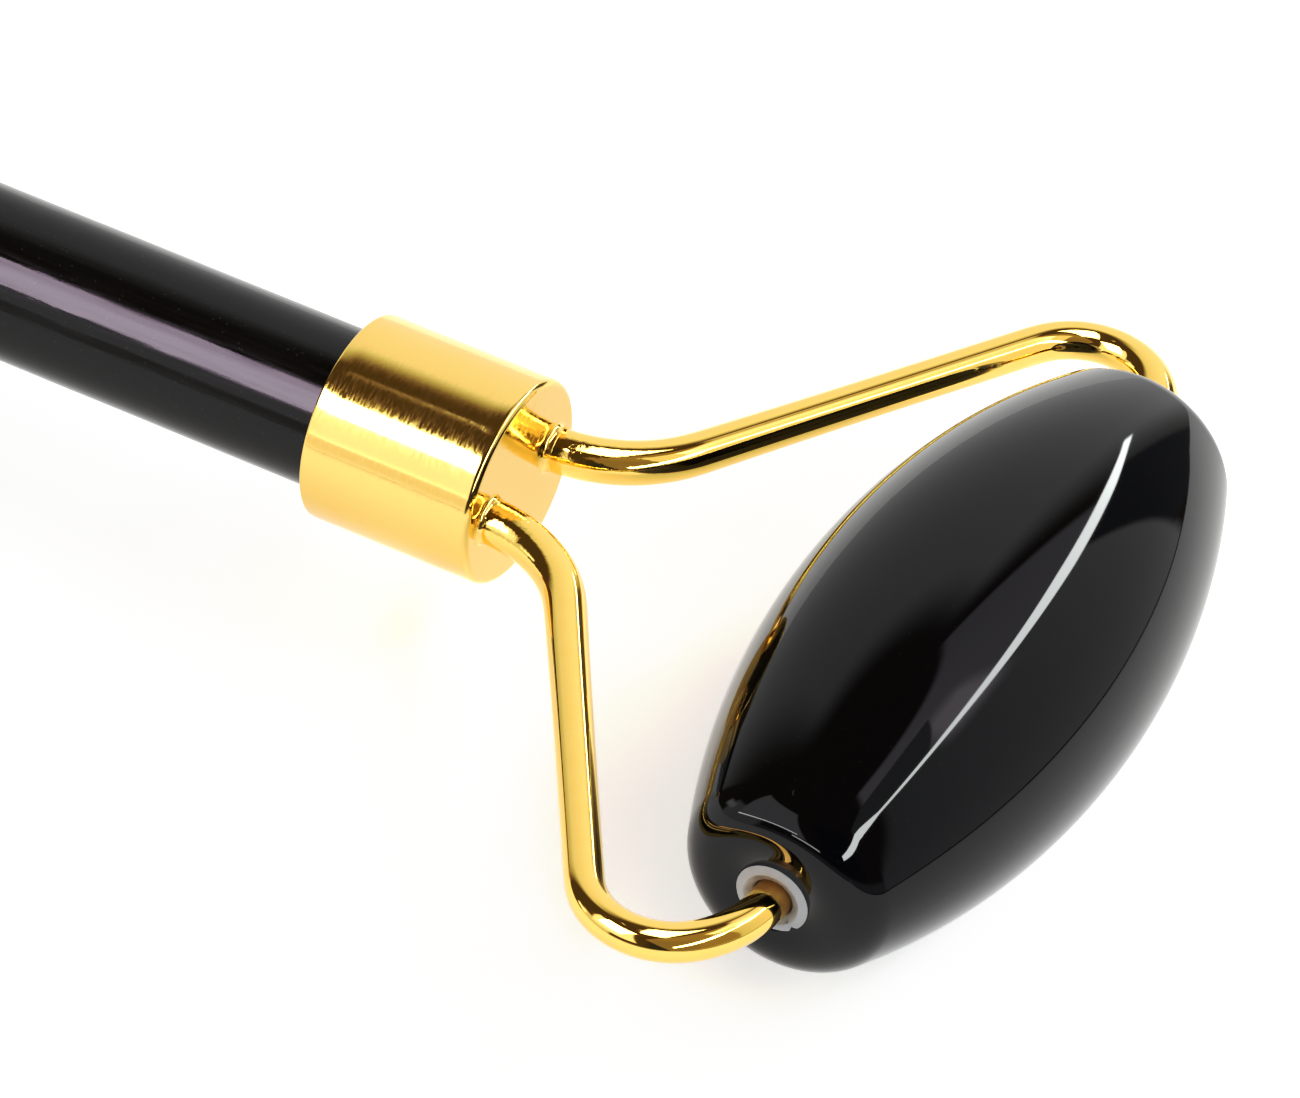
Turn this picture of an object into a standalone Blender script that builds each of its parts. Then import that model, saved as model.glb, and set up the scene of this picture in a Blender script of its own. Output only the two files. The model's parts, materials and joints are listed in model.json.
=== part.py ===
"""Double-ended face roller, as a Blender 4.5 script.

A polished stone rod sits in a metal ferrule at each end. Two wire arms are brazed into
the closed face of each ferrule, and their turned-in tips are the axle of a barrel-shaped
stone, which spins on a flanged bush at either side.

Frame: +X runs along the handle towards the large roller, +Y along the axles, +Z is up.
The origin is under the middle of the object. Both stones rest on z = 0, and as their
radii differ, the handle leans a little.
"""
import math
from typing import NamedTuple

import bmesh
import bpy

MM = 0.001

# Handle and ferrules
HANDLE_RADIUS = 4.55 * MM
HANDLE_EXPOSED = 64.0 * MM        # stone that shows between the two ferrules
HANDLE_EDGE = 0.40 * MM
FERRULE_RADIUS = 5.90 * MM
FERRULE_LENGTH = 10.40 * MM
FERRULE_FACE = 2.00 * MM          # thickness of the closed end
FERRULE_FACE_EDGE = 0.40 * MM
FERRULE_MOUTH_EDGE = 0.15 * MM
GRIP_DEPTH = 7.60 * MM            # how far the handle goes into a ferrule
GLUE_LINE = 0.10 * MM             # radial room round the handle inside a ferrule
FACE_GAP = 0.05 * MM              # room between faces that bear on each other

# Wire arms, measured on the wire's centre line
WIRE_RADIUS = 1.08 * MM
ROOT_SWELL = 0.18                 # how much thicker the wire is at its brazed root
SWELL_LENGTH = 11.0 * MM          # distance over which that fades
ARM_OFFSET = 3.46 * MM            # arm root to the handle's axis
ARM_SOCKET_DEPTH = 1.50 * MM
ARM_SOCKET_GAP = 0.06 * MM
ARM_SPIGOT = 1.40 * MM            # part of the arm inside its socket
BRAZE_GAP = 0.06 * MM
BRAZE_SIZE = 0.32 * MM            # width and height of the hollow fillet round an arm's root

# Bushes
BUSH_RADIUS = 1.75 * MM
BUSH_LENGTH = 5.00 * MM           # part inside the stone
BUSH_FLANGE_RADIUS = 2.15 * MM
BUSH_FLANGE = 0.55 * MM
BUSH_FLANGE_EDGE = 0.22 * MM
BUSH_MOUTH_RADIUS = 1.46 * MM     # wide end of the funnel round the pin
BUSH_MOUTH_DEPTH = 0.45 * MM
BUSH_END_CHAMFER = 0.20 * MM
RUNNING_GAP = 0.10 * MM           # radial room between pin and bush
PIN_ENGAGEMENT = 4.50 * MM
STONE_BORE_RADIUS = BUSH_RADIUS + FACE_GAP
STONE_BORE_CHAMFER = 0.15 * MM

# Smoothness of round shapes
STONE_SEGMENTS = 48
METAL_SEGMENTS = 48
BUSH_SEGMENTS = 24
SOCKET_SEGMENTS = 24
WIRE_BEVEL_RESOLUTION = 4
SHARP_ANGLE = math.radians(32)
MERGE_DISTANCE = 1e-7


class End(NamedTuple):
    """One end of the roller. Lengths in metres, angles in radians."""
    name: str
    side: int                     # +1 faces +X, -1 faces -X
    stone_radius: float
    stone_half: float             # half the stone's length
    crown_radius: float           # arc along the stone's side
    shoulder_radius: float
    axle_reach: float             # ferrule face to axle
    root_bend: float              # radius of the bend next to the ferrule
    splay: float                  # angle of the straight stretch to the handle
    corner_bend: float            # radius of the outer corner
    corner_turn: float
    tip_bend: float               # radius of the last bend, into the axle


LARGE = End(
    name="large",
    side=1,
    stone_radius=10.0 * MM,
    stone_half=20.95 * MM,
    crown_radius=48.1 * MM,
    shoulder_radius=2.85 * MM,
    axle_reach=26.95 * MM,
    root_bend=8.15 * MM,
    splay=math.radians(57.7),
    corner_bend=4.45 * MM,
    corner_turn=math.radians(105.2),
    tip_bend=6.5 * MM,
)
SMALL = End(
    name="small",
    side=-1,
    stone_radius=7.25 * MM,
    stone_half=10.0 * MM,
    crown_radius=19.0 * MM,
    shoulder_radius=2.40 * MM,
    axle_reach=20.0 * MM,
    root_bend=5.0 * MM,
    splay=math.radians(43.0),
    corner_bend=3.6 * MM,
    corner_turn=math.radians(103.0),
    tip_bend=4.0 * MM,
)
ENDS = (LARGE, SMALL)
SIDES = {"left": 1, "right": -1}  # left is towards +Y

# Surface of each material: colour, metallic, roughness
BLACK_STONE = ((0.012, 0.012, 0.014), 0.0, 0.12)
HANDLE_STONE = ((0.014, 0.013, 0.016), 0.0, 0.22)
BRUSHED_GOLD = ((0.92, 0.68, 0.26), 1.0, 0.28)
BRIGHT_GOLD = ((0.93, 0.70, 0.25), 1.0, 0.10)
BRAZE_GOLD = ((0.90, 0.67, 0.24), 1.0, 0.20)
CLEAR_NYLON = ((0.74, 0.75, 0.76), 0.0, 0.35)
AMBER_RESIN = ((0.70, 0.58, 0.34), 0.0, 0.30)


def clear_scene():
    for old in list(bpy.data.objects):
        bpy.data.objects.remove(old, do_unlink=True)


def material(name, surface):
    colour, metallic, roughness = surface
    made = bpy.data.materials.new(name)
    made.use_nodes = True
    shader = made.node_tree.nodes["Principled BSDF"]
    shader.inputs["Base Color"].default_value = (*colour, 1.0)
    shader.inputs["Metallic"].default_value = metallic
    shader.inputs["Roughness"].default_value = roughness
    return made


def add_object(name, data, parent, location=(0, 0, 0), rotation=(0, 0, 0)):
    placed = bpy.data.objects.new(name, data)
    bpy.context.scene.collection.objects.link(placed)
    placed.parent = parent
    placed.location = location
    placed.rotation_euler = rotation
    return placed


def arc(centre, radius, start, stop, steps):
    """Points on a circle from one angle to another, both ends included."""
    turn = (stop - start) / steps
    angles = [start + turn * i for i in range(steps + 1)]
    return [(centre[0] + radius * math.cos(a), centre[1] + radius * math.sin(a)) for a in angles]


def turned_mesh(name, outline, segments, surface, closed):
    """Spins an outline of (radius, height) points round Z. An open one starts and ends on Z."""
    shape = bmesh.new()
    ring = [shape.verts.new((radius, 0, height)) for radius, height in outline]
    pairs = list(zip(ring, ring[1:]))
    if closed:
        pairs.append((ring[-1], ring[0]))
    edges = [shape.edges.new(pair) for pair in pairs]
    bmesh.ops.spin(
        shape,
        geom=ring + edges,
        cent=(0, 0, 0),
        axis=(0, 0, 1),
        angle=math.tau,
        steps=segments,
        use_merge=True,
    )
    bmesh.ops.remove_doubles(shape, verts=shape.verts, dist=MERGE_DISTANCE)
    bmesh.ops.recalc_face_normals(shape, faces=shape.faces)
    mesh = bpy.data.meshes.new(name)
    shape.to_mesh(mesh)
    shape.free()
    mesh.shade_smooth()
    mesh.set_sharp_from_angle(angle=SHARP_ANGLE)
    mesh.materials.append(material(name, surface))
    return mesh


def handle_mesh():
    half = HANDLE_EXPOSED / 2 + GRIP_DEPTH
    inner = HANDLE_RADIUS - HANDLE_EDGE
    shoulder = half - HANDLE_EDGE
    outline = [(0, -half)]
    outline += arc((inner, -shoulder), HANDLE_EDGE, -math.pi / 2, 0, 3)
    outline += arc((inner, shoulder), HANDLE_EDGE, 0, math.pi / 2, 3)
    outline += [(0, half)]
    return turned_mesh("handle_stone", outline, METAL_SEGMENTS, HANDLE_STONE, closed=False)


def ferrule_mesh(name):
    """A cup with its open mouth at z = 0 and its closed face at the top."""
    bore = HANDLE_RADIUS + GLUE_LINE
    face_edge = (FERRULE_RADIUS - FERRULE_FACE_EDGE, FERRULE_LENGTH - FERRULE_FACE_EDGE)
    mouth_edge = (FERRULE_RADIUS - FERRULE_MOUTH_EDGE, FERRULE_MOUTH_EDGE)
    outline = [(0, FERRULE_LENGTH)]
    outline += arc(face_edge, FERRULE_FACE_EDGE, math.pi / 2, 0, 4)
    outline += arc(mouth_edge, FERRULE_MOUTH_EDGE, 0, -math.pi / 2, 2)
    outline += [(bore + FERRULE_MOUTH_EDGE, 0), (bore, FERRULE_MOUTH_EDGE)]
    outline += [(bore, FERRULE_LENGTH - FERRULE_FACE), (0, FERRULE_LENGTH - FERRULE_FACE)]
    return turned_mesh(name, outline, METAL_SEGMENTS, BRUSHED_GOLD, closed=False)


def adhesive_mesh(name):
    """The pad of cured resin between the handle's end and the floor of a ferrule."""
    radius = HANDLE_RADIUS
    thickness = FERRULE_LENGTH - FERRULE_FACE - GRIP_DEPTH - 2 * FACE_GAP
    outline = [(0, 0), (radius, 0), (radius, thickness), (0, thickness)]
    return turned_mesh(name, outline, METAL_SEGMENTS, AMBER_RESIN, closed=False)


def braze_mesh(name):
    """A hollow-sided ring of filler metal on z = 0, round the root of an arm."""
    bore = WIRE_RADIUS * (1 + ROOT_SWELL) + BRAZE_GAP
    centre = (bore + BRAZE_SIZE, FACE_GAP + BRAZE_SIZE)
    blunt = math.radians(10)
    hollow = arc(centre, BRAZE_SIZE, -math.pi / 2 - blunt, -math.pi + blunt, 3)
    outline = [(bore, FACE_GAP), (hollow[0][0], FACE_GAP)] + hollow + [(bore, hollow[-1][1])]
    return turned_mesh(name, outline, SOCKET_SEGMENTS, BRAZE_GOLD, closed=True)


def roller_stone_mesh(end):
    """A barrel: one arc along the side, a small arc at each shoulder, flat ends, a through bore."""
    crown_centre = end.stone_radius - end.crown_radius
    shoulder_height = end.stone_half - end.shoulder_radius
    span = end.crown_radius - end.shoulder_radius
    shoulder_centre = crown_centre + math.sqrt(span**2 - shoulder_height**2)
    tangent = math.asin(shoulder_height / span)
    mouth = STONE_BORE_RADIUS + STONE_BORE_CHAMFER
    throat = end.stone_half - STONE_BORE_CHAMFER
    upper = (shoulder_centre, shoulder_height)
    lower = (shoulder_centre, -shoulder_height)
    outline = [(mouth, end.stone_half)]
    outline += arc(upper, end.shoulder_radius, math.pi / 2, tangent, 5)
    outline += arc((crown_centre, 0), end.crown_radius, tangent, -tangent, 12)[1:-1]
    outline += arc(lower, end.shoulder_radius, -tangent, -math.pi / 2, 5)
    outline += [(mouth, -end.stone_half)]
    outline += [(STONE_BORE_RADIUS, -throat), (STONE_BORE_RADIUS, throat)]
    name = f"{end.name}_roller_stone"
    return turned_mesh(name, outline, STONE_SEGMENTS, BLACK_STONE, closed=True)


def bush_mesh(name):
    """A sleeve under z = 0 with a round-edged flange above it and a funnel mouth round the pin."""
    bore = WIRE_RADIUS + RUNNING_GAP
    edge = (BUSH_FLANGE_RADIUS - BUSH_FLANGE_EDGE, BUSH_FLANGE - BUSH_FLANGE_EDGE)
    tip = BUSH_RADIUS - BUSH_END_CHAMFER
    outline = [(BUSH_MOUTH_RADIUS, BUSH_FLANGE)]
    outline += arc(edge, BUSH_FLANGE_EDGE, math.pi / 2, 0, 3)
    outline += [(BUSH_FLANGE_RADIUS, FACE_GAP), (BUSH_RADIUS, FACE_GAP)]
    outline += [(BUSH_RADIUS, BUSH_END_CHAMFER - BUSH_LENGTH), (tip, -BUSH_LENGTH)]
    outline += [(bore, -BUSH_LENGTH), (bore, BUSH_FLANGE - BUSH_MOUTH_DEPTH)]
    return turned_mesh(name, outline, BUSH_SEGMENTS, CLEAR_NYLON, closed=True)


def forward(point, heading, distance):
    return (point[0] + distance * math.cos(heading), point[1] + distance * math.sin(heading))


def bend(point, heading, radius, turn, steps):
    """Points along a bend from a point. A positive turn goes left, a negative one right."""
    way = math.copysign(1, turn)
    normal = heading + way * math.pi / 2
    centre = forward(point, normal, radius)
    first = normal + math.pi
    return arc(centre, radius, first, first + turn, steps)[1:]


def arm_route(end):
    """The wire's centre line as (forward, outward) from the middle of the ferrule's face."""
    quarter = math.pi / 2
    after_corner = end.splay - end.corner_turn
    tip_turn = -quarter - after_corner
    corner = bend((0, 0), end.splay, end.corner_bend, -end.corner_turn, 10)
    tip = bend(corner[-1], after_corner, end.tip_bend, tip_turn, 5)
    root = bend((0, ARM_OFFSET), 0, end.root_bend, end.splay, 7)
    straight = (end.axle_reach - tip[-1][0] - root[-1][0]) / math.cos(end.splay)
    elbow = forward(root[-1], end.splay, straight)
    route = [(-ARM_SPIGOT, ARM_OFFSET), (0, ARM_OFFSET)] + root
    route += [forward(root[-1], end.splay, straight * part / 3) for part in (1, 2, 3)]
    route += [(elbow[0] + x, elbow[1] + y) for x, y in corner + tip]
    route += [(end.axle_reach, end.stone_half - PIN_ENGAGEMENT)]
    return route


def arm_curve(end, which):
    """The arm as a bevelled curve with closed ends, in the ferrule's own frame."""
    name = f"{end.name}_arm_{which}"
    curve = bpy.data.curves.new(name, "CURVE")
    curve.dimensions = "3D"
    curve.bevel_mode = "ROUND"
    curve.bevel_depth = WIRE_RADIUS
    curve.bevel_resolution = WIRE_BEVEL_RESOLUTION
    curve.use_fill_caps = True
    route = arm_route(end)
    spline = curve.splines.new("POLY")
    spline.points.add(len(route) - 1)
    travelled = -ARM_SPIGOT
    previous = route[0]
    for point, (x, y) in zip(spline.points, route):
        travelled += math.dist(previous, (x, y))
        previous = (x, y)
        point.co = (end.side * x, SIDES[which] * y, 0, 1)
        point.radius = 1 + ROOT_SWELL * math.exp(-((travelled / SWELL_LENGTH) ** 2))
    spline.use_smooth = True
    curve.materials.append(material(name, BRIGHT_GOLD))
    return curve


def ferrule_front(end):
    """Where the closed face of a ferrule is along the handle."""
    return end.side * (HANDLE_EXPOSED / 2 + FERRULE_LENGTH)


def axle_position(end):
    return ferrule_front(end) + end.side * end.axle_reach


def add_root():
    """The frame that every piece hangs on. It leans the handle so that both stones touch z = 0."""
    span = axle_position(LARGE) - axle_position(SMALL)
    lean = math.asin((LARGE.stone_radius - SMALL.stone_radius) / span)
    front = axle_position(LARGE) * math.cos(lean) + LARGE.stone_radius
    back = axle_position(SMALL) * math.cos(lean) - SMALL.stone_radius
    height = SMALL.stone_radius - axle_position(SMALL) * math.sin(lean)
    place = (-(front + back) / 2, 0, height)
    return add_object("roller_frame", None, None, place, (0, -lean, 0))


def add_handle(root):
    add_object("handle_stone", handle_mesh(), root, rotation=(0, math.pi / 2, 0))


def cut_arm_socket(ferrule, which):
    """A blind hole in the ferrule's face for the root of an arm."""
    radius = WIRE_RADIUS * (1 + ROOT_SWELL) + ARM_SOCKET_GAP
    shape = bmesh.new()
    bmesh.ops.create_cone(
        shape,
        cap_ends=True,
        segments=SOCKET_SEGMENTS,
        radius1=radius,
        radius2=radius,
        depth=2 * ARM_SOCKET_DEPTH,
    )
    mesh = bpy.data.meshes.new(f"{ferrule.name}_{which}_socket_cutter")
    shape.to_mesh(mesh)
    shape.free()
    place = (0, SIDES[which] * ARM_OFFSET, FERRULE_LENGTH)
    cutter = add_object(mesh.name, mesh, ferrule, place)
    cutter.hide_render = True
    cutter.display_type = "WIRE"
    cut = ferrule.modifiers.new(f"{which}_socket", "BOOLEAN")
    cut.operation = "DIFFERENCE"
    cut.solver = "EXACT"
    cut.object = cutter


def add_ferrule(root, end):
    mouth = end.side * HANDLE_EXPOSED / 2
    floor = mouth + end.side * (GRIP_DEPTH + FACE_GAP)
    outward = (0, end.side * math.pi / 2, 0)
    name = f"{end.name}_ferrule"
    ferrule = add_object(name, ferrule_mesh(name), root, (mouth, 0, 0), outward)
    for which in SIDES:
        cut_arm_socket(ferrule, which)
    pad = f"{end.name}_ferrule_adhesive"
    add_object(pad, adhesive_mesh(pad), root, (floor, 0, 0), outward)


def add_arms(root, end):
    outward = (0, end.side * math.pi / 2, 0)
    for which, way in SIDES.items():
        name = f"{end.name}_arm_{which}"
        add_object(name, arm_curve(end, which), root, (ferrule_front(end), 0, 0))
        braze = f"{end.name}_braze_{which}"
        foot = (ferrule_front(end), way * ARM_OFFSET, 0)
        add_object(braze, braze_mesh(braze), root, foot, outward)


def add_roller(root, end):
    """The stone and its two bushes, on an empty whose Z axis is the axle."""
    place = (axle_position(end), 0, 0)
    axle = add_object(f"{end.name}_axle", None, root, place, (-math.pi / 2, 0, 0))
    add_object(f"{end.name}_roller_stone", roller_stone_mesh(end), axle)
    for which, way in SIDES.items():
        name = f"{end.name}_bush_{which}"
        flip = 0 if way > 0 else math.pi
        add_object(name, bush_mesh(name), axle, (0, 0, way * end.stone_half), (flip, 0, 0))


def build():
    clear_scene()
    root = add_root()
    add_handle(root)
    for end in ENDS:
        add_ferrule(root, end)
        add_arms(root, end)
        add_roller(root, end)


build()
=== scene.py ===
"""Looks of the double-ended stone face roller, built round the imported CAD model.

A finer piece stands for every CAD node but the two hidden pads of adhesive, which only get a
material. Each piece is modelled in a frame of its own. An arm's has its origin at the middle
of the ferrule's closed face and +X out of it, a ferrule's and a braze's have +Z out of that
face, and a stone's and a bush's have Z along the axle.
"""
import json
import math
from typing import NamedTuple

import bmesh
import bpy
import numpy as np
from mathutils import Matrix, Quaternion, Vector, noise

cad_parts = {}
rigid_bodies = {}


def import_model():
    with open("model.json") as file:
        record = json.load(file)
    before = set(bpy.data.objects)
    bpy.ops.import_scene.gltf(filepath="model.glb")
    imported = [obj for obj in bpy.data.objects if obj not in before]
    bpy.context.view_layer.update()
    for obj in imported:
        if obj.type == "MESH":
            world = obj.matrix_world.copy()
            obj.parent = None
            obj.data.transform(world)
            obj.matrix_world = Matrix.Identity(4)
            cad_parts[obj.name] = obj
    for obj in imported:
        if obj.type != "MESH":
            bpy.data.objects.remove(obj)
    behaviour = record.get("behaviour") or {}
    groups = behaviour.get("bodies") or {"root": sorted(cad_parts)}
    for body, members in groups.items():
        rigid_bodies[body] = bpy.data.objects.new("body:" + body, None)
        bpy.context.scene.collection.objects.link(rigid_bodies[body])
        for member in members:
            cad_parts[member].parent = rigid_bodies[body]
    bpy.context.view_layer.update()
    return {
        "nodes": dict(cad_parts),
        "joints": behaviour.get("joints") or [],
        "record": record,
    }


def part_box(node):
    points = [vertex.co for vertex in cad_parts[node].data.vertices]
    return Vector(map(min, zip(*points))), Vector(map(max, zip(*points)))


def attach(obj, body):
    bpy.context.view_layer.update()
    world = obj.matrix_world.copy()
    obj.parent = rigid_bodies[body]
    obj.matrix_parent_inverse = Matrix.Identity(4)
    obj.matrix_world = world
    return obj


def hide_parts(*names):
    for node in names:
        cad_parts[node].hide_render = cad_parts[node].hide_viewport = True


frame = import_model()

MM = 0.001

# Camera, in the large ferrule's frame
CAMERA_AIM = Vector((8.48, -0.89, 0.0)) * MM
CAMERA_DISTANCE = 497.9 * MM
CAMERA_AZIMUTH = 26.87
CAMERA_ELEVATION = 41.68
CAMERA_ROLL = 3.59
CAMERA_LENS = 258.1
SENSOR_WIDTH = 36.0

# Floor, from the model's origin
FLOOR_RIGHT = 119.5 * MM
FLOOR_FRONT = 105.0 * MM
FLOOR_REACH = 230.0 * MM
FLOOR_EDGE_SHADE = 0.9 * MM

SOFTBOX_DISTANCE = 1500.0 * MM

# Handle and ferrules
FERRULE_LENGTH = 10.40 * MM
FERRULE_WALL_EDGE = 0.15 * MM
FERRULE_FACE = 2.00 * MM
FERRULE_FACE_EDGE = 0.40 * MM
GRIP_DEPTH = 7.60 * MM
GLUE_LINE = 0.10 * MM
HANDLE_EDGE = 0.40 * MM

# Arms and their brazed roots
WIRE_RADIUS = 1.08 * MM
ROOT_SWELL = 0.18
SWELL_LENGTH = 11.0 * MM
ARM_OFFSET = 3.46 * MM
ARM_SPIGOT = 0.60 * MM
ARM_STEP = 0.25 * MM
ARM_EASING_PASSES = 10
ARM_SIDES = 48
PIN_ENGAGEMENT = 4.50 * MM
PIN_CHAMFER = 0.20 * MM
PIN_MATT_LENGTH = 5.50 * MM
BRAZE_WIDTH = 0.26 * MM
BRAZE_HEIGHT = 0.50 * MM
BRAZE_OVERLAP = 0.04 * MM
BRAZE_SINK = 0.004 * MM
BRAZE_RAGGEDNESS = 0.07
BRAZE_LUMP = 0.5 * MM

# Bushes
BUSH_RADIUS = 1.75 * MM
BUSH_LENGTH = 5.00 * MM
BUSH_FLANGE_RADIUS = 2.08 * MM
BUSH_FLANGE = 0.24 * MM
BUSH_SEAT = 0.03 * MM
BUSH_RIM = 0.12 * MM
BUSH_RIM_EDGE = 0.04 * MM
BUSH_LIP_RADIUS = 1.66 * MM
BUSH_MOUTH_RADIUS = 1.56 * MM
BUSH_LEDGE_RADIUS = 1.46 * MM
BUSH_LEDGE = 0.05 * MM
BUSH_LEAN = 0.16
GATE_MARK_ANGLE = math.radians(-48)
GATE_MARK_HALF_ANGLE = math.radians(8)
GATE_MARK_DEPTH = 0.10
BUSH_BORE = 1.18 * MM

# Roller stones
STONE_END_SLOPE = math.radians(3)
STONE_BORE = 1.80 * MM
STONE_BORE_CHAMFER = 0.15 * MM

# Unevenness that hand polishing leaves
HANDLE_WAVE = 0.012 * MM
STONE_WAVE = 0.008 * MM
WAVELENGTH = 9.0 * MM

# Steps round each kind of piece, and which side an arm or bush is on
ROUND_STEPS = 192
FINE_STEPS = 256
BUSH_STEPS = 144
SIDES = {"left": 1, "right": -1}


class End(NamedTuple):
    """The shape of one end that the frame's boxes don't give. Lengths in metres, angles in radians."""
    name: str
    crown_radius: float
    shoulder_radius: float
    root_bend: float
    splay: float
    corner_bend: float
    corner_turn: float
    tip_bend: float


ENDS = (
    End(
        name="large",
        crown_radius=48.1 * MM,
        shoulder_radius=2.85 * MM,
        root_bend=8.15 * MM,
        splay=math.radians(57.7),
        corner_bend=4.45 * MM,
        corner_turn=math.radians(105.2),
        tip_bend=6.5 * MM,
    ),
    End(
        name="small",
        crown_radius=19.0 * MM,
        shoulder_radius=2.40 * MM,
        root_bend=5.0 * MM,
        splay=math.radians(43.0),
        corner_bend=3.6 * MM,
        corner_turn=math.radians(103.0),
        tip_bend=4.0 * MM,
    ),
)

MOUNTS = {mount["name"]: mount for mount in frame["record"]["mounts"]}
JOINTS = {joint["name"]: joint for joint in frame["joints"]}


# ---------------------------------------------------------------- places


def face_frame(end_name):
    """Origin at the middle of a ferrule's closed face, X out of it, Y along the axles."""
    mount = MOUNTS[f"{end_name}_ferrule_face"]
    along = Vector(mount["axis"]).normalized()
    across = Vector((0, 1, 0))
    rotation = Matrix((along, across, along.cross(across))).transposed()
    return Matrix.Translation(mount["pos_m"]) @ rotation.to_4x4()


def ferrule_frame(end_name):
    """The same place with Z out of the face and Y kept."""
    return face_frame(end_name) @ Matrix.Rotation(math.pi / 2, 4, "Y")


def axle_frame(end_name):
    """Origin in the middle of a stone, Z along +Y of the model."""
    place = Matrix.Translation(JOINTS[f"{end_name}_roller_spin"]["pos_m"])
    return place @ Matrix.Rotation(-math.pi / 2, 4, "X")


def half_width(node):
    """Half of a CAD node's size along the axles."""
    low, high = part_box(node)
    return (high.y - low.y) / 2


def axle_reach(end_name):
    """From the ferrule's face to the axle."""
    face = face_frame(end_name)
    return (face.inverted() @ axle_frame(end_name).translation).x


# ---------------------------------------------------------------- outlines and meshes


def arc(centre, radius, start, stop, steps):
    """Points on a circle from one angle to another, both ends included."""
    turn = (stop - start) / steps
    angles = [start + turn * i for i in range(steps + 1)]
    return [(centre[0] + radius * math.cos(a), centre[1] + radius * math.sin(a)) for a in angles]


def divided(start, stop, steps):
    """Points on a straight line, without its two ends."""
    return [
        tuple(a + (b - a) * i / steps for a, b in zip(start, stop))
        for i in range(1, steps)
    ]


def finish_mesh(shape, name):
    bmesh.ops.recalc_face_normals(shape, faces=shape.faces)
    mesh = bpy.data.meshes.new(name)
    shape.to_mesh(mesh)
    shape.free()
    mesh.shade_smooth()
    return mesh


def turned_mesh(name, outline, steps, closed=False):
    """Spins an outline of (radius, height) round Z. An open one starts and ends on Z."""
    shape = bmesh.new()
    ring = [shape.verts.new((radius, 0, height)) for radius, height in outline]
    pairs = list(zip(ring, ring[1:]))
    if closed:
        pairs.append((ring[-1], ring[0]))
    edges = [shape.edges.new(pair) for pair in pairs]
    bmesh.ops.spin(
        shape,
        geom=ring + edges,
        cent=(0, 0, 0),
        axis=(0, 0, 1),
        angle=math.tau,
        steps=steps,
        use_merge=True,
    )
    bmesh.ops.remove_doubles(shape, verts=shape.verts, dist=1e-7)
    return finish_mesh(shape, name)


def swept_mesh(name, route, radii, sides):
    """A round wire along a route in the XY plane, with flat ends."""
    shape = bmesh.new()
    headings = np.gradient(route, axis=0)
    headings /= np.linalg.norm(headings, axis=1)[:, None]
    rings = []
    for (x, y), (dx, dy), radius in zip(route, headings, radii):
        ring = []
        for i in range(sides):
            turn = math.tau * i / sides
            outward = radius * math.cos(turn)
            spot = (x - dy * outward, y + dx * outward, radius * math.sin(turn))
            ring.append(shape.verts.new(spot))
        rings.append(ring)
    for near, far in zip(rings, rings[1:]):
        for i in range(sides):
            j = (i + 1) % sides
            shape.faces.new((near[i], near[j], far[j], far[i]))
    shape.faces.new(rings[0])
    shape.faces.new(rings[-1])
    return finish_mesh(shape, name)


def make_uneven(mesh, depth, wavelength, seed):
    """Moves a surface in and out by slow noise, as hand polishing leaves it."""
    shift = Vector((seed, 2 * seed, 3 * seed))
    normals = [vertex.normal.copy() for vertex in mesh.vertices]
    for vertex, normal in zip(mesh.vertices, normals):
        vertex.co += normal * depth * noise.noise(vertex.co / wavelength + shift)


def add_piece(mesh, matrix, body, node, material):
    """Puts a mesh in place as the piece that stands for a CAD node."""
    piece = bpy.data.objects.new(f"{node}_surface", mesh)
    bpy.context.scene.collection.objects.link(piece)
    piece.matrix_world = matrix
    mesh.materials.append(material)
    weighted = piece.modifiers.new("flat_faces_stay_flat", "WEIGHTED_NORMAL")
    weighted.weight = 90
    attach(piece, body)
    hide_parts(node)
    return piece


# ---------------------------------------------------------------- material nodes


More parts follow.
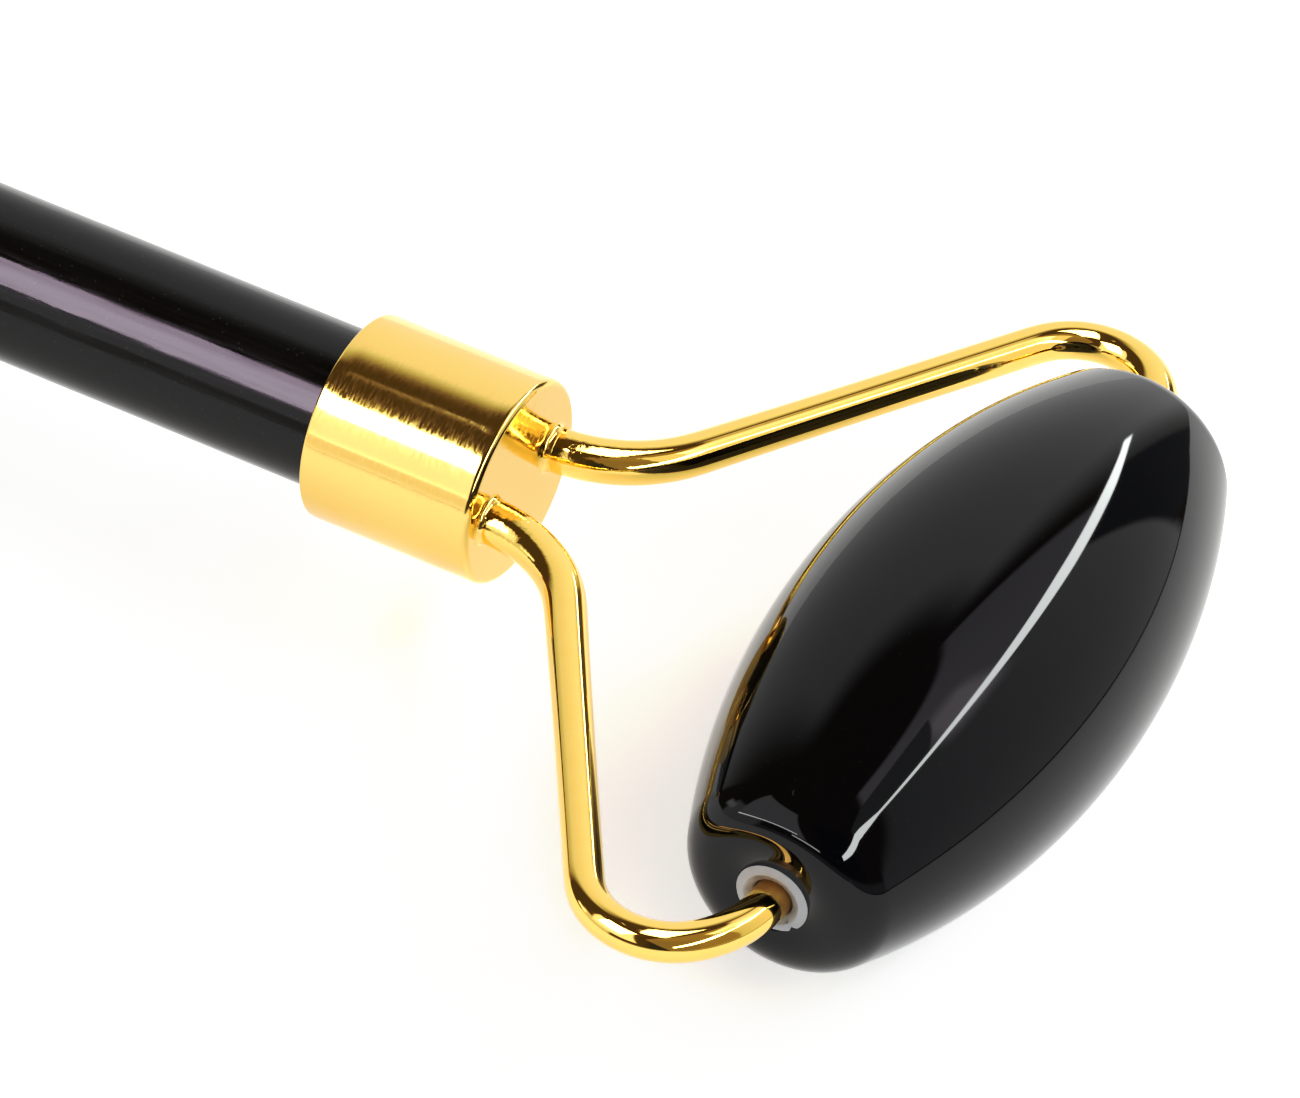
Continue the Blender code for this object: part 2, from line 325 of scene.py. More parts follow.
class Shader:
    """A material's node tree with short ways to add and join nodes."""

    def __init__(self, name):
        self.material = bpy.data.materials.new(name)
        self.material.use_nodes = True
        self.tree = self.material.node_tree
        self.surface = self.tree.nodes["Principled BSDF"]
        self.place = self.node("ShaderNodeTexCoord").outputs["Object"]

    def node(self, kind, **settings):
        made = self.tree.nodes.new(kind)
        for key, value in settings.items():
            setattr(made, key, value)
        return made

    def feed(self, socket, value):
        if isinstance(value, bpy.types.NodeSocket):
            self.tree.links.new(value, socket)
        else:
            socket.default_value = value

    def set(self, **values):
        for key, value in values.items():
            self.feed(self.surface.inputs[key.replace("_", " ")], value)

    def stretched(self, scale):
        """Object coordinates with a scale of their own along each axis."""
        mapping = self.node("ShaderNodeMapping")
        self.feed(mapping.inputs["Vector"], self.place)
        self.feed(mapping.inputs["Scale"], scale)
        return mapping.outputs["Vector"]

    def noise(self, scale, detail=3.0, roughness=0.5, place=None):
        texture = self.node("ShaderNodeTexNoise")
        self.feed(texture.inputs["Vector"], self.place if place is None else place)
        self.feed(texture.inputs["Scale"], scale)
        self.feed(texture.inputs["Detail"], detail)
        self.feed(texture.inputs["Roughness"], roughness)
        return texture.outputs["Fac"]

    def specks(self, scale, size):
        """1 inside small round specks scattered through space, 0 elsewhere."""
        texture = self.node("ShaderNodeTexVoronoi")
        self.feed(texture.inputs["Vector"], self.place)
        self.feed(texture.inputs["Scale"], scale)
        return self.ranged(texture.outputs["Distance"], size, 0.5 * size, 0.0, 1.0)

    def attribute(self, name):
        return self.node("ShaderNodeAttribute", attribute_name=name).outputs["Fac"]

    def distance_along(self, axis):
        split = self.node("ShaderNodeSeparateXYZ")
        self.feed(split.inputs[0], self.place)
        return split.outputs[axis]

    def ranged(self, value, from_min, from_max, to_min, to_max):
        remap = self.node("ShaderNodeMapRange", interpolation_type="SMOOTHSTEP")
        levels = (value, from_min, from_max, to_min, to_max)
        names = ("Value", "From Min", "From Max", "To Min", "To Max")
        for name, level in zip(names, levels):
            self.feed(remap.inputs[name], level)
        return remap.outputs["Result"]

    def math(self, operation, first, second):
        made = self.node("ShaderNodeMath", operation=operation)
        self.feed(made.inputs[0], first)
        self.feed(made.inputs[1], second)
        return made.outputs[0]

    def blended(self, factor, first, second):
        mix = self.node("ShaderNodeMix", data_type="RGBA")
        self.feed(mix.inputs["Factor"], factor)
        self.feed(mix.inputs["A"], first)
        self.feed(mix.inputs["B"], second)
        return mix.outputs["Result"]

    def bump(self, height, depth, under=None):
        """Bump from a height of 0 to 1 that stands for depth in metres."""
        made = self.node("ShaderNodeBump")
        self.feed(made.inputs["Height"], height)
        self.feed(made.inputs["Distance"], depth)
        if under is not None:
            self.feed(made.inputs["Normal"], under)
        return made.outputs["Normal"]


def grey(level, warmth=0.0):
    return (level * (1 + warmth), level, level * (1 - warmth), 1.0)


def polished_stone():
    """Black stone with a mirror polish: faint clouding, fine specks and hairline scratches."""
    shader = Shader("polished_black_stone")
    clouds = shader.noise(160.0, detail=4.0)
    colour = shader.blended(clouds, (0.0006, 0.0009, 0.0026, 1.0), (0.0014, 0.0017, 0.0036, 1.0))
    colour = shader.blended(shader.specks(1500.0, 0.13), colour, grey(0.008))
    hairlines = shader.noise(900.0, detail=2.0, place=shader.stretched((1.0, 1.0, 0.1)))
    shader.set(
        Base_Color=colour,
        Roughness=shader.ranged(clouds, 0.3, 0.7, 0.030, 0.050),
        Normal=shader.bump(hairlines, 0.00000015),
        IOR=1.5,
    )
    return shader.material


def handle_stone():
    """Black stone with a softer polish that shows its lengthwise fibres in the highlight."""
    shader = Shader("satin_black_stone")
    fibres = shader.noise(4200.0, detail=3.0, place=shader.stretched((1.0, 1.0, 0.05)))
    grain = shader.noise(6500.0, detail=2.0)
    colour = shader.blended(grain, grey(0.0012), grey(0.0052, 0.05))
    colour = shader.blended(shader.specks(2100.0, 0.17), colour, grey(0.020))
    texture = shader.bump(fibres, 0.0000042)
    shader.set(
        Base_Color=colour,
        Roughness=shader.ranged(fibres, 0.3, 0.7, 0.06, 0.19),
        Normal=shader.bump(grain, 0.0000013, under=texture),
        IOR=1.5,
    )
    return shader.material


def brushed_gold():
    """Gold plate over metal that was brushed round its side."""
    shader = Shader("brushed_gold")
    strokes = shader.noise(15000.0, detail=2.0, place=shader.stretched((0.12, 0.12, 1.0)))
    pits = shader.noise(5000.0, detail=3.0, roughness=0.6)
    patches = shader.noise(240.0, detail=3.0)
    colour = shader.blended(patches, (0.915, 0.640, 0.190, 1.0), (0.940, 0.675, 0.220, 1.0))
    texture = shader.bump(pits, 0.0000010)
    shader.set(
        Base_Color=colour,
        Metallic=1.0,
        Roughness=shader.ranged(strokes, 0.36, 0.64, 0.06, 0.17),
        Normal=shader.bump(strokes, 0.0000006, under=texture),
    )
    return shader.material


def bright_gold():
    """Polished gold plate with a slight orange peel, crumpled near the root and matt on the pin."""
    shader = Shader("bright_gold")
    peel = shader.noise(900.0, detail=2.0)
    wear = shader.noise(3000.0, detail=4.0)
    heat = shader.ranged(shader.distance_along("X"), 0.0, 0.008, 1.0, 0.0)
    colour = shader.blended(peel, (0.955, 0.655, 0.175, 1.0), (0.970, 0.690, 0.205, 1.0))
    matt = shader.attribute("matt")
    colour = shader.blended(matt, colour, (0.560, 0.360, 0.110, 1.0))
    texture = shader.bump(shader.math("MULTIPLY", wear, heat), 0.000016)
    polish = shader.ranged(wear, 0.3, 0.7, 0.035, 0.075)
    shader.set(
        Base_Color=colour,
        Metallic=1.0,
        Roughness=shader.math("ADD", polish, shader.math("MULTIPLY", matt, 0.34)),
        Normal=shader.bump(peel, 0.0000010, under=texture),
    )
    return shader.material


def braze_gold():
    """Gold plate over a brazed fillet: the same colour, rougher and lumpy."""
    shader = Shader("braze_gold")
    lumps = shader.noise(2200.0, detail=3.0)
    colour = shader.blended(lumps, (0.935, 0.650, 0.195, 1.0), (0.965, 0.700, 0.235, 1.0))
    shader.set(
        Base_Color=colour,
        Metallic=1.0,
        Roughness=shader.ranged(lumps, 0.3, 0.7, 0.10, 0.20),
        Normal=shader.bump(lumps, 0.0000200),
    )
    return shader.material


def moulded_nylon():
    """Milky translucent nylon with a faint moulded grain."""
    shader = Shader("moulded_nylon")
    haze = shader.noise(1400.0, detail=3.0)
    colour = shader.blended(haze, (0.30, 0.31, 0.33, 1.0), (0.39, 0.40, 0.42, 1.0))
    shader.set(
        Base_Color=colour,
        Roughness=shader.ranged(haze, 0.3, 0.7, 0.28, 0.42),
        Normal=shader.bump(haze, 0.0000060),
        IOR=1.53,
        Subsurface_Weight=0.35,
        Subsurface_Radius=(0.6, 0.6, 0.6),
        Subsurface_Scale=0.001,
    )
    return shader.material


def cured_resin():
    """The hidden pads of adhesive: cloudy amber resin."""
    shader = Shader("cured_resin")
    clouds = shader.noise(900.0, detail=3.0)
    colour = shader.blended(clouds, (0.62, 0.48, 0.26, 1.0), (0.74, 0.62, 0.38, 1.0))
    shader.set(
        Base_Color=colour,
        Roughness=shader.ranged(clouds, 0.3, 0.7, 0.25, 0.40),
        Normal=shader.bump(clouds, 0.00001),
    )
    return shader.material


# ---------------------------------------------------------------- pieces


def handle_piece(material):
    large, small = face_frame("large"), face_frame("small")
    span = (large.translation - small.translation).length
    radius = half_width("handle_stone")
    half = span / 2 - FERRULE_LENGTH + GRIP_DEPTH
    inner = radius - HANDLE_EDGE
    shoulder = half - HANDLE_EDGE
    lower = arc((inner, -shoulder), HANDLE_EDGE, -math.pi / 2, 0, 8)
    upper = arc((inner, shoulder), HANDLE_EDGE, 0, math.pi / 2, 8)
    side = divided(lower[-1], upper[0], 96)
    outline = [(0, -half)] + lower + side + upper + [(0, half)]
    mesh = turned_mesh("handle_stone_surface", outline, ROUND_STEPS)
    make_uneven(mesh, HANDLE_WAVE, WAVELENGTH, 1.0)
    place = ferrule_frame("large") @ Matrix.Translation((0, 0, -span / 2))
    add_piece(mesh, place, "handle_frame", "handle_stone", material)


def ferrule_piece(end, material):
    """A cup whose closed face is on z = 0."""
    radius = half_width(f"{end.name}_ferrule")
    bore = half_width("handle_stone") + GLUE_LINE
    face_edge = (radius - FERRULE_FACE_EDGE, -FERRULE_FACE_EDGE)
    mouth_edge = (radius - FERRULE_WALL_EDGE, FERRULE_WALL_EDGE - FERRULE_LENGTH)
    rim = arc(face_edge, FERRULE_FACE_EDGE, math.pi / 2, 0, 12)
    mouth = arc(mouth_edge, FERRULE_WALL_EDGE, 0, -math.pi / 2, 8)
    outline = [(0, 0)] + rim + divided(rim[-1], mouth[0], 12) + mouth
    inner_edge = (bore + FERRULE_WALL_EDGE, mouth_edge[1])
    outline += arc(inner_edge, FERRULE_WALL_EDGE, -math.pi / 2, -math.pi, 6)
    outline += [(bore, -FERRULE_FACE), (0, -FERRULE_FACE)]
    node = f"{end.name}_ferrule"
    mesh = turned_mesh(f"{node}_surface", outline, ROUND_STEPS)
    add_piece(mesh, ferrule_frame(end.name), "handle_frame", node, material)


def forward(point, heading, distance):
    return (point[0] + distance * math.cos(heading), point[1] + distance * math.sin(heading))


def bend(point, heading, radius, turn, steps):
    """Points along a bend from a point. A positive turn goes left, a negative one right."""
    way = math.copysign(1, turn)
    normal = heading + way * math.pi / 2
    centre = forward(point, normal, radius)
    first = normal + math.pi
    return arc(centre, radius, first, first + turn, steps)[1:]


def arm_corners(end):
    """The wire's centre line as (forward, outward) from the middle of the ferrule's face."""
    reach = axle_reach(end.name)
    pin_end = half_width(f"{end.name}_roller_stone") - PIN_ENGAGEMENT
    quarter = math.pi / 2
    after_corner = end.splay - end.corner_turn
    corner = bend((0, 0), end.splay, end.corner_bend, -end.corner_turn, 60)
    tip = bend(corner[-1], after_corner, end.tip_bend, -quarter - after_corner, 30)
    root = bend((0, ARM_OFFSET), 0, end.root_bend, end.splay, 40)
    straight = (reach - tip[-1][0] - root[-1][0]) / math.cos(end.splay)
    elbow = forward(root[-1], end.splay, straight)
    route = [(-ARM_SPIGOT, ARM_OFFSET), (0, ARM_OFFSET)] + root + [elbow]
    route += [(elbow[0] + x, elbow[1] + y) for x, y in corner + tip]
    return np.array(route + [(reach, pin_end)])


def arm_route(end):
    """Evenly spaced points on the centre line, with each bend eased into the next stretch."""
    corners = arm_corners(end)
    travelled = np.concatenate([[0], np.cumsum(np.linalg.norm(np.diff(corners, axis=0), axis=1))])
    spots = np.linspace(0, travelled[-1], round(travelled[-1] / ARM_STEP) + 1)
    route = np.stack([np.interp(spots, travelled, corners[:, i]) for i in (0, 1)], axis=1)
    for _ in range(ARM_EASING_PASSES):
        route[1:-1] = (route[:-2] + 2 * route[1:-1] + route[2:]) / 4
    return route, spots - ARM_SPIGOT


def arm_piece(end, which, material):
    route, travelled = arm_route(end)
    radii = WIRE_RADIUS * (1 + ROOT_SWELL * np.exp(-((travelled / SWELL_LENGTH) ** 2)))
    radii[-1] -= PIN_CHAMFER
    node = f"{end.name}_arm_{which}"
    mesh = swept_mesh(f"{node}_surface", route * (1, SIDES[which]), radii, ARM_SIDES)
    matt = np.clip((travelled - travelled[-1] + PIN_MATT_LENGTH) / ARM_STEP, 0, 1)
    painted = mesh.attributes.new("matt", "FLOAT", "POINT")
    painted.data.foreach_set("value", np.repeat(matt, ARM_SIDES))
    add_piece(mesh, face_frame(end.name), "handle_frame", node, material)


def braze_piece(end, which, material):
    """A hollow-sided ring of filler metal where an arm leaves the face."""
    root = WIRE_RADIUS * (1 + ROOT_SWELL)
    inner = root - BRAZE_OVERLAP
    outline = [(inner, -BRAZE_OVERLAP), (root + BRAZE_WIDTH, -BRAZE_OVERLAP)]
    for x, y in arc((1, 1), 1, -math.pi / 2, -math.pi, 16):
        outline.append((root - BRAZE_SINK + BRAZE_WIDTH * x, BRAZE_HEIGHT * y))
    outline.append((inner, outline[-1][1]))
    node = f"{end.name}_braze_{which}"
    mesh = turned_mesh(f"{node}_surface", outline, BUSH_STEPS, closed=True)
    for vertex in mesh.vertices:
        raggedness = max(0, 1 - vertex.co.z / BRAZE_HEIGHT) * noise.noise(vertex.co / BRAZE_LUMP)
        vertex.co.xy *= 1 + BRAZE_RAGGEDNESS * raggedness * (vertex.co.xy.length > root)
        vertex.co.y += SIDES[which] * vertex.co.z**2 / (2 * end.root_bend)
    place = ferrule_frame(end.name) @ Matrix.Translation((0, SIDES[which] * ARM_OFFSET, 0))
    add_piece(mesh, place, "handle_frame", node, material)


def stone_piece(end, material):
    """A barrel: a long arc along the side, a small arc at each shoulder, coned ends, a bore."""
    node = f"{end.name}_roller_stone"
    radius = JOINTS[f"{end.name}_roller_spin"]["pos_m"][2]
    half = half_width(node)
    crown_centre = radius - end.crown_radius
    shoulder_height = half - end.shoulder_radius
    span = end.crown_radius - end.shoulder_radius
    shoulder_centre = crown_centre + math.sqrt(span**2 - shoulder_height**2)
    tangent = math.asin(shoulder_height / span)
    mouth = STONE_BORE + STONE_BORE_CHAMFER
    throat = half - STONE_BORE_CHAMFER
    brow = math.pi / 2 - STONE_END_SLOPE
    upper = arc((shoulder_centre, shoulder_height), end.shoulder_radius, brow, tangent, 28)
    crown = arc((crown_centre, 0), end.crown_radius, tangent, -tangent, 110)[1:-1]
    lower = [(radius, -height) for radius, height in reversed(upper)]
    rise = (upper[0][0] - mouth) * math.tan(STONE_END_SLOPE)
    peak = upper[0][1] + rise
    outline = [(mouth, peak)] + upper + crown + lower + [(mouth, -peak)]
    outline += [(STONE_BORE, -throat), (STONE_BORE, throat)]
    mesh = turned_mesh(f"{node}_surface", outline, FINE_STEPS, closed=True)
    make_uneven(mesh, STONE_WAVE, WAVELENGTH, 7.0)
    body = f"{end.name}_roller"
    add_piece(mesh, axle_frame(end.name), body, node, material)


def shape_flange(mesh):
    """Makes a moulded flange thinner on one side and nicks it where its gate was cut off."""
    for vertex in mesh.vertices:
        x, y, z = vertex.co
        radius = math.hypot(x, y)
        if z <= 0 or radius < BUSH_BORE:
            continue
        vertex.co.z = z * (1 - BUSH_LEAN * x / BUSH_FLANGE_RADIUS)
        aside = abs(math.atan2(y, x) - GATE_MARK_ANGLE)
        nick = max(0, 1 - aside / GATE_MARK_HALF_ANGLE) * (radius > BUSH_LIP_RADIUS)
        vertex.co.xy *= 1 - GATE_MARK_DEPTH * nick


def bush_piece(end, which, material):
    """A sleeve under z = 0 with a domed flange above it and a shallow recess round the pin."""
    edge = (BUSH_FLANGE_RADIUS - BUSH_RIM_EDGE, BUSH_RIM - BUSH_RIM_EDGE)
    outline = [(BUSH_MOUTH_RADIUS, BUSH_FLANGE), (BUSH_LIP_RADIUS, BUSH_FLANGE)]
    outline += arc(edge, BUSH_RIM_EDGE, math.radians(65), 0, 8)
    outline += [(BUSH_FLANGE_RADIUS, BUSH_SEAT), (BUSH_RADIUS, BUSH_SEAT)]
    outline.append((BUSH_RADIUS, -BUSH_LENGTH))
    outline += [(BUSH_BORE, -BUSH_LENGTH), (BUSH_BORE, BUSH_LEDGE)]
    outline.append((BUSH_LEDGE_RADIUS, BUSH_LEDGE))
    node = f"{end.name}_bush_{which}"
    mesh = turned_mesh(f"{node}_surface", outline, BUSH_STEPS, closed=True)
    shape_flange(mesh)
    half = half_width(f"{end.name}_roller_stone")
    place = axle_frame(end.name) @ Matrix.Translation((0, 0, SIDES[which] * half))
    if which == "right":
        place = place @ Matrix.Rotation(math.pi, 4, "X")
    add_piece(mesh, place, f"{end.name}_roller", node, material)


# ---------------------------------------------------------------- camera, floor and studio


def direction(azimuth, elevation):
    """Azimuth 0 is towards -Y and 90 is towards +X, in degrees."""
    a, e = math.radians(azimuth), math.radians(elevation)
    return Vector((math.sin(a) * math.cos(e), -math.cos(a) * math.cos(e), math.sin(e)))


def add_camera():
    face = face_frame("large")
    back = direction(CAMERA_AZIMUTH, CAMERA_ELEVATION)
    turn = Quaternion(back, math.radians(CAMERA_ROLL)) @ back.to_track_quat("Z", "Y")
    spot = CAMERA_AIM + CAMERA_DISTANCE * back
    data = bpy.data.cameras.new("camera")
    data.lens = CAMERA_LENS
    data.sensor_width = SENSOR_WIDTH
    data.clip_start = 0.01
    camera = bpy.data.objects.new("camera", data)
    bpy.context.scene.collection.objects.link(camera)
    camera.matrix_world = face @ Matrix.LocRotScale(spot, turn, None)
    bpy.context.scene.camera = camera


def add_card(name, corners, material, seen=True):
    """A flat card of the set: not part of the object."""
    mesh = bpy.data.meshes.new(name)
    mesh.from_pydata(corners, [], [(0, 1, 2, 3)])
    mesh.materials.append(material)
    card = bpy.data.objects.new(name, mesh)
    bpy.context.scene.collection.objects.link(card)
    card.visible_camera = seen


def add_floor():
    """A pale floor. Dark cards on its front and right edges are painted shade for the floor's shaded
    edges, hidden from the camera.
    """
    left, right = -FLOOR_REACH, FLOOR_RIGHT
    front, back = -FLOOR_FRONT, FLOOR_REACH
    pale = Shader("pale_floor")
    pale.set(Base_Color=(0.85, 0.85, 0.85, 1.0), Roughness=0.9)
    pale.set(Emission_Color=(1.0, 1.0, 1.0, 1.0), Emission_Strength=0.48)
    corners = [(left, front, 0), (right, front, 0), (right, back, 0), (left, back, 0)]
    add_card("floor", corners, pale.material)
    # Painted shade: near-black cards stand for the shaded side of the floor's front and right edges,
    # shown only in reflections
    dark = Shader("dark_seam")
    dark.set(Base_Color=(0.02, 0.02, 0.02, 1.0), Roughness=1.0)
    tall = FLOOR_EDGE_SHADE
    corners = [(left, front, 0), (right, front, 0), (right, front, tall), (left, front, tall)]
    add_card("front_seam", corners, dark.material, seen=False)
    corners = [(right, front, 0), (right, back, 0), (right, back, tall), (right, front, tall)]
    add_card("right_seam", corners, dark.material, seen=False)


class Panel(NamedTuple):
    """A soft-edged patch of light round the object, in degrees.

    Heights are elevations, or are counted from the arch. The colour runs from the first to the
    second, sideways. The slant is how far the patch moves sideways per degree of height.
    """
    azimuths: tuple
    heights: tuple
    softness: float
    colours: tuple
    from_arch: bool = False
    slant: float = 0.0


def plain(level, green=1.0, blue=1.0):
    """The same light at both ends of a panel."""
    return (tinted(level, green=green, blue=blue),) * 2


def tinted(level, red=1.0, green=1.0, blue=1.0):
    return (level * red, level * green, level * blue, 1.0)


class Strip(NamedTuple):
    """An arched strip of light, highest at its middle, with (share of its length, thickness) pairs."""
    azimuth: float
    half_span: float
    peak: float
    low: float
    thickness: tuple
    colour: tuple


DARK_ROOM = (0.105, 0.080, 0.042, 1.0)

# The bright streak along the roller stone
ARCH = Strip(
    azimuth=106,
    half_span=73,
    peak=46,
    low=16,
    thickness=(
        (0.0, 5.0),
        (0.12, 7.5),
        (0.35, 7.0),
        (0.385, 1.7),
        (0.5, 2.0),
        (0.61, 3.0),
        (0.8, 5.0),
        (0.92, 4.2),
        (0.98, 2.4),
    ),
    colour=tinted(13.0, red=0.96, blue=0.98),
)

# Each one lies over those before it
PANELS = (
    # The wall behind, a dark gap in front and low fills at the front and right
    Panel((175, 257), (-20, 59), 16, (tinted(1.10), tinted(0.80))),
    Panel((8, 58), (-4, 50), 10, plain(0.05)),
    Panel((-68, -31), (-16, 16), 5, plain(0.78)),
    Panel((-31, 92), (-16, -3), 5, plain(0.30)),
    # Below and above the arch, with a glow and a slanted patch on it
    Panel((90, 154), (-70, 0), 3, (tinted(0.50), tinted(0.96)), from_arch=True),
    Panel((86, 165), (0, 50), 3, (tinted(1.35, green=0.92), tinted(0.85, green=0.93)), from_arch=True),
    Panel((108, 126), (-4, 12), 8, plain(2.3, green=0.93), from_arch=True),
    Panel((80, 110), (1, 14), 1, plain(0.40), from_arch=True, slant=0.85),
    # The dark ceiling and a gap at the arch's far end
    Panel((70, 170), (66, 100), 3, (DARK_ROOM, DARK_ROOM)),
    Panel((154, 172), (-36, 0), 2, plain(0.12), from_arch=True),
    # Patches and a thin line high and low at the front left
    Panel((-58, -8), (8, 46), 3, plain(1.25, green=0.96), slant=-0.3),
    Panel((-75, -62), (4, 11), 4, plain(1.6)),
    Panel((-82, -66), (67.2, 68.4), 0.5, plain(0.9, blue=1.1)),
)


class Softbox(NamedTuple):
    """A far rectangular light, placed and sized in degrees, that only some pieces reflect."""
    name: str
    azimuth: float
    elevation: float
    width: float
    height: float
    roll: float
    level: float
    colour: tuple
    shines_on: tuple


WHITE = (1.0, 1.0, 1.0)
LAVENDER = (1.0, 0.82, 1.0)
SOFTBOXES = (
    Softbox("front_softbox", -33, 40.5, 26, 32, 0, 8.0, (1.0, 0.82, 0.95), ("arm", "braze")),
    Softbox("handle_softbox", -33, 40.5, 26, 30, 0, 6.6, LAVENDER, ("handle_stone",)),
    Softbox("front_top", -36, 43, 30, 15, 0, 11.0, (1.0, 0.98, 1.0), ("ferrule",)),
    Softbox("handle_fill", -22, 0, 30, 20, 0, 0.40, WHITE, ("handle_stone",)),
    Softbox("front_fill", -22, 0, 30, 20, 0, 0.80, WHITE, ("ferrule",)),
    Softbox("overhead_softbox", 5, 86, 18, 38, 0, 4.5, WHITE, ("arm", "braze", "bush")),
    Softbox("bush_light", -33, 40.5, 26, 32, 0, 3.0, WHITE, ("bush",)),
    Softbox("far_fill", 75, 31, 30, 70, 0, 0.65, WHITE, ("large_arm_left",)),
    Softbox("upper_fill", 98, 54, 14, 13, 0, 0.55, WHITE, ("arm",)),
    Softbox("arm_fill", 80, 35, 110, 80, 0, 0.22, (1.0, 0.85, 0.55), ("arm", "braze")),
    Softbox("edge_light", -28, 8.4, 44, 2.2, 8, 6.0, WHITE, ("roller_stone",)),
    Softbox("edge_light_end", 0, 5.0, 18, 2.6, 0, 6.0, WHITE, ("roller_stone",)),
)


class World:
    """The studio as a world shader: patches of light in a dim room."""

    def __init__(self):
        self.world = bpy.data.worlds.new("studio")
        self.world.use_nodes = True
        self.tree = self.world.node_tree
        self.tree.nodes.clear()
        coordinates = self.tree.nodes.new("ShaderNodeTexCoord").outputs["Generated"]
        split = self.tree.nodes.new("ShaderNodeSeparateXYZ")
        self.tree.links.new(coordinates, split.inputs[0])
        x, y, z = split.outputs
        self.azimuth = self.math("DEGREES", self.math("ARCTAN2", x, self.math("MULTIPLY", y, -1.0)))
        self.elevation = self.math("DEGREES", self.math("ARCSINE", z))
        self.along_arch = self.math("DIVIDE", self.past(self.azimuth, ARCH.azimuth), ARCH.half_span)
        square = self.math("MULTIPLY", self.along_arch, self.along_arch)
        drop = self.math("MULTIPLY", square, ARCH.peak - ARCH.low)
        self.over_arch = self.math("SUBTRACT", self.elevation, self.math("SUBTRACT", ARCH.peak, drop))
        self.colour = None

    def math(self, operation, *values):
        made = self.tree.nodes.new("ShaderNodeMath")
        made.operation = operation
        for socket, value in zip(made.inputs, values):
            if isinstance(value, bpy.types.NodeSocket):
                self.tree.links.new(value, socket)
            else:
                socket.default_value = value
        return made.outputs[0]

    def past(self, angle, middle):
        """An angle counted from another, between -180 and 180."""
        return self.math("WRAP", self.math("SUBTRACT", angle, middle), 180.0, -180.0)

    def ranged(self, value, start, stop, interpolation="SMOOTHSTEP"):
        """0 at the start, 1 at the stop."""
        remap = self.tree.nodes.new("ShaderNodeMapRange")
        remap.interpolation_type = interpolation
        self.tree.links.new(value, remap.inputs["Value"])
        remap.inputs["From Min"].default_value = start
        remap.inputs["From Max"].default_value = stop
        return remap.outputs["Result"]

    def inside(self, distance, half, softness):
        """1 where a distance is under half, falling to 0 over the softness."""
        return self.ranged(self.math("ABSOLUTE", distance), half + softness / 2, half - softness / 2)

    def mix(self, factor, first, second):
        made = self.tree.nodes.new("ShaderNodeMix")
        made.data_type = "RGBA"
        self.tree.links.new(factor, made.inputs["Factor"])
        for socket, value in (("A", first), ("B", second)):
            if isinstance(value, bpy.types.NodeSocket):
                self.tree.links.new(value, made.inputs[socket])
            else:
                made.inputs[socket].default_value = value
        return made.outputs["Result"]

    def lay(self, mask, colour):
        """Lays a colour over what is there."""
        self.colour = self.mix(mask, self.colour or DARK_ROOM, colour)

    def add_panel(self, panel):
        (left, right), (low, high) = panel.azimuths, panel.heights
        half_width, half_height = (right - left) / 2, (high - low) / 2
        height = self.over_arch if panel.from_arch else self.elevation
        above = self.math("SUBTRACT", height, (low + high) / 2)
        shift = self.math("MULTIPLY", above, panel.slant)
        aside = self.math("SUBTRACT", self.past(self.azimuth, (left + right) / 2), shift)
        wide = self.inside(aside, half_width, panel.softness)
        tall = self.inside(above, half_height, panel.softness)
        run = self.ranged(aside, -half_width, half_width, "LINEAR")
        colour = self.mix(run, *panel.colours)
        self.lay(self.math("MULTIPLY", wide, tall), colour)

    def add_strip(self, strip):
        ramp = self.tree.nodes.new("ShaderNodeValToRGB")
        self.tree.links.new(self.ranged(self.along_arch, -1, 1, "LINEAR"), ramp.inputs["Fac"])
        marks = ramp.color_ramp.elements
        for share, thickness in strip.thickness[2:]:
            marks.new(share)
        for mark, (share, thickness) in zip(marks, strip.thickness):
            mark.position = share
            mark.color = grey(thickness / 20)
        half = self.math("MULTIPLY", ramp.outputs["Color"], 10.0)
        beyond = self.math("SUBTRACT", self.math("ABSOLUTE", self.over_arch), half)
        tall = self.ranged(beyond, 0.4, -0.4)
        wide = self.inside(self.along_arch, 1, 0.02)
        self.lay(self.math("MULTIPLY", wide, tall), strip.colour)

    def finish(self, seen):
        """The camera sees a plain colour instead of the studio."""
        studio = self.tree.nodes.new("ShaderNodeBackground")
        self.tree.links.new(self.colour, studio.inputs["Color"])
        plain_wall = self.tree.nodes.new("ShaderNodeBackground")
        plain_wall.inputs["Color"].default_value = seen
        mix = self.tree.nodes.new("ShaderNodeMixShader")
        path = self.tree.nodes.new("ShaderNodeLightPath")
        output = self.tree.nodes.new("ShaderNodeOutputWorld")
        self.tree.links.new(path.outputs["Is Camera Ray"], mix.inputs["Fac"])
        self.tree.links.new(studio.outputs[0], mix.inputs[1])
        self.tree.links.new(plain_wall.outputs[0], mix.inputs[2])
        self.tree.links.new(mix.outputs[0], output.inputs["Surface"])
        bpy.context.scene.world = self.world


# Pairs of scene brightness and shown brightness
TONES = (
    (0.0091, 0.0048),
    (0.0319, 0.0176),
    (0.0704, 0.0382),
    (0.127, 0.0887),
    (0.216, 0.202),
    (0.319, 0.325),
    (0.456, 0.480),
    (0.61, 0.640),
    (0.776, 0.825),
    (0.860, 0.960),
)


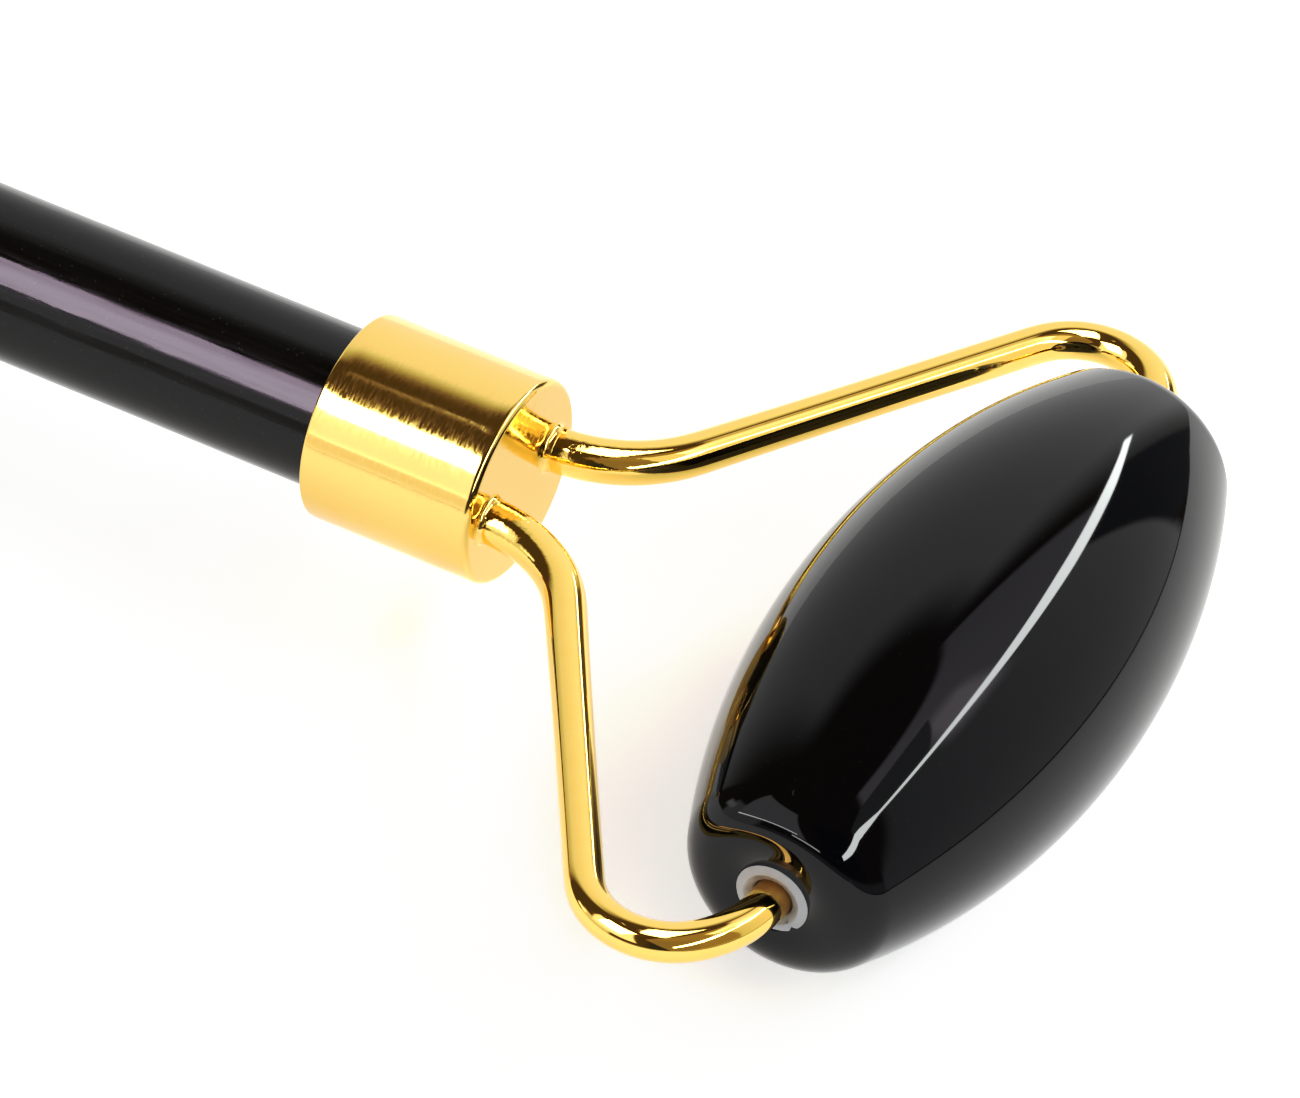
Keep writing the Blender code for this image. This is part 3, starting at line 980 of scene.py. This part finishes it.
def set_contrast():
    """A camera's contrast: deeper darks and brighter lights around an unchanged middle."""
    view = bpy.context.scene.view_settings
    view.view_transform = "Standard"
    view.use_curve_mapping = True
    curve = view.curve_mapping.curves[3]
    for seen, shown in TONES:
        curve.points.new(seen, shown)
    view.curve_mapping.update()


def add_softbox(softbox):
    back = direction(softbox.azimuth, softbox.elevation)
    turn = Quaternion(back, math.radians(softbox.roll)) @ back.to_track_quat("Z", "Y")
    data = bpy.data.lights.new(softbox.name, "AREA")
    data.shape = "RECTANGLE"
    data.size = 2 * SOFTBOX_DISTANCE * math.tan(math.radians(softbox.width / 2))
    data.size_y = 2 * SOFTBOX_DISTANCE * math.tan(math.radians(softbox.height / 2))
    data.color = softbox.colour
    data.energy = softbox.level * math.pi * data.size * data.size_y
    light = bpy.data.objects.new(softbox.name, data)
    light.visible_camera = False
    light.matrix_world = Matrix.LocRotScale(SOFTBOX_DISTANCE * back, turn, None)
    bpy.context.scene.collection.objects.link(light)
    lit = bpy.data.collections.new(f"{softbox.name}_shines_on")
    for piece in bpy.context.scene.objects:
        if piece.name.endswith("_surface") and any(word in piece.name for word in softbox.shines_on):
            lit.objects.link(piece)
    light.light_linking.receiver_collection = lit


def add_studio():
    studio = World()
    for panel in PANELS:
        studio.add_panel(panel)
    studio.add_strip(ARCH)
    studio.finish((1.0, 1.0, 1.0, 1.0))


# ---------------------------------------------------------------- everything together

add_camera()
add_floor()
add_studio()
set_contrast()

POLISHED_STONE = polished_stone()
BRUSHED_GOLD = brushed_gold()
BRIGHT_GOLD = bright_gold()
BRAZE_GOLD = braze_gold()
NYLON = moulded_nylon()
RESIN = cured_resin()

handle_piece(handle_stone())
for end in ENDS:
    ferrule_piece(end, BRUSHED_GOLD)
    stone_piece(end, POLISHED_STONE)
    for which in SIDES:
        arm_piece(end, which, BRIGHT_GOLD)
        braze_piece(end, which, BRAZE_GOLD)
        bush_piece(end, which, NYLON)
    pad = frame["nodes"][f"{end.name}_ferrule_adhesive"]
    pad.data.materials.clear()
    pad.data.materials.append(RESIN)

for softbox in SOFTBOXES:
    add_softbox(softbox)
